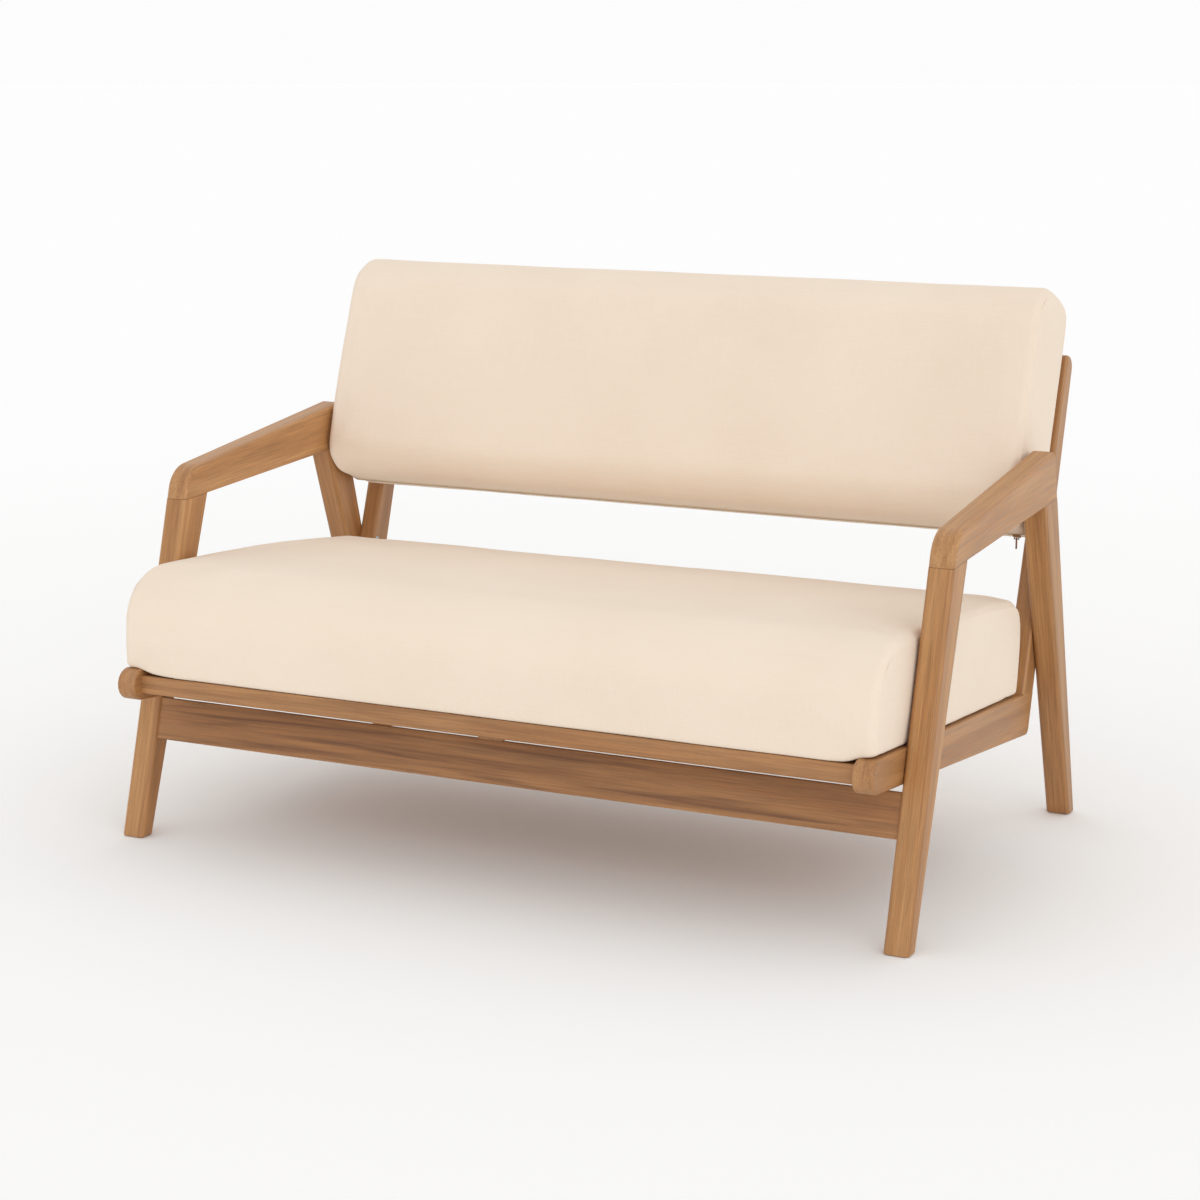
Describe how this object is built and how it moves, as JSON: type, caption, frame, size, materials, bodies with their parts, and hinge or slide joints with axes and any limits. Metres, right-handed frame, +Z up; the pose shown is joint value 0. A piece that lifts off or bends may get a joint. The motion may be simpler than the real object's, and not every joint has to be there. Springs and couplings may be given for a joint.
{
  "type": "patio loveseat",
  "caption": "Outdoor loveseat with raked tapered legs, shaped armrests, a slatted seat frame, a leaning slatted back and loose zipped cushions.",
  "frame": {"origin": "on the floor, under the middle of the overall width and depth", "axes": "+X along the width to the sitter's left, -Y toward the front, +Z up"},
  "size_m": [1.32, 0.8854, 0.8645],
  "materials": {
    "hardwood": "satin oiled hardwood",
    "dowel_wood": "plain",
    "steel": "satin",
    "brass": "plain",
    "glide_plastic": "matt",
    "cushion_fabric": "woven outdoor fabric",
    "cushion_foam": "open-cell foam",
    "zip_tape": "woven tape with a coil",
    "zip_metal": "satin",
    "webbing": "woven webbing"
  },
  "bodies": {
    "frame": {"left_armrest": "hardwood", "right_armrest": "hardwood", "left_front_leg": "hardwood", "right_front_leg": "hardwood", "left_rear_leg": "hardwood", "right_rear_leg": "hardwood", "front_apron": "hardwood", "left_seat_side_rail": "hardwood", "right_seat_side_rail": "hardwood", "front_seat_rail": "hardwood", "rear_seat_rail": "hardwood", "seat_centre_bearer": "hardwood", "left_seat_cleat": "hardwood", "right_seat_cleat": "hardwood", "seat_slat_1": "hardwood", "seat_slat_2": "hardwood", "seat_slat_3": "hardwood", "seat_slat_4": "hardwood", "seat_slat_5": "hardwood", "seat_slat_6": "hardwood", "seat_slat_7": "hardwood", "seat_slat_8": "hardwood", "left_back_post": "hardwood", "right_back_post": "hardwood", "lower_back_rail": "hardwood", "middle_back_rail": "hardwood", "upper_back_rail": "hardwood", "armrest_dowels": "dowel_wood", "post_bolts": "steel", "post_inserts": "brass", "seat_rail_bolts": "steel", "seat_rail_inserts": "brass", "foot_glides": "glide_plastic"},
    "seat_cushion": {"seat_cushion_cover": "cushion_fabric", "seat_cushion_core": "cushion_foam", "seat_cushion_zip": "zip_tape"},
    "seat_zip_slider": {"seat_cushion_zip_slider": "zip_metal"},
    "seat_zip_pull": {"seat_cushion_zip_pull": "zip_metal"},
    "back_cushion": {"back_cushion_cover": "cushion_fabric", "back_cushion_core": "cushion_foam", "back_cushion_zip": "zip_tape", "back_cushion_straps": "webbing"},
    "back_zip_slider": {"back_cushion_zip_slider": "zip_metal"},
    "back_zip_pull": {"back_cushion_zip_pull": "zip_metal"}
  },
  "joints": [
    {"name": "seat_cushion_slide", "type": "slide", "parent": "frame", "child": "seat_cushion", "axis": [0, -0.9965, 0.0837], "range_m": [0, 0.25]},
    {"name": "back_cushion_lift", "type": "slide", "parent": "frame", "child": "back_cushion", "axis": [0, 0.3305, 0.9438], "range_m": [0, 0.11]},
    {"name": "seat_zip_run", "type": "slide", "parent": "seat_cushion", "child": "seat_zip_slider", "axis": [-1, 0, 0], "range_m": [0, 1.13]},
    {"name": "seat_zip_pull_swing", "type": "hinge", "parent": "seat_zip_slider", "child": "seat_zip_pull", "pos_m": [0.5685, 0.24563, 0.3081], "axis": [1, 0, 0], "range_deg": [-4, 160]},
    {"name": "back_zip_run", "type": "slide", "parent": "back_cushion", "child": "back_zip_slider", "axis": [-1, 0, 0], "range_m": [0, 1.19]},
    {"name": "back_zip_pull_swing", "type": "hinge", "parent": "back_zip_slider", "child": "back_zip_pull", "pos_m": [0.5965, 0.25032, 0.47548], "axis": [1, 0, 0], "range_deg": [-99, 60]}
  ]
}
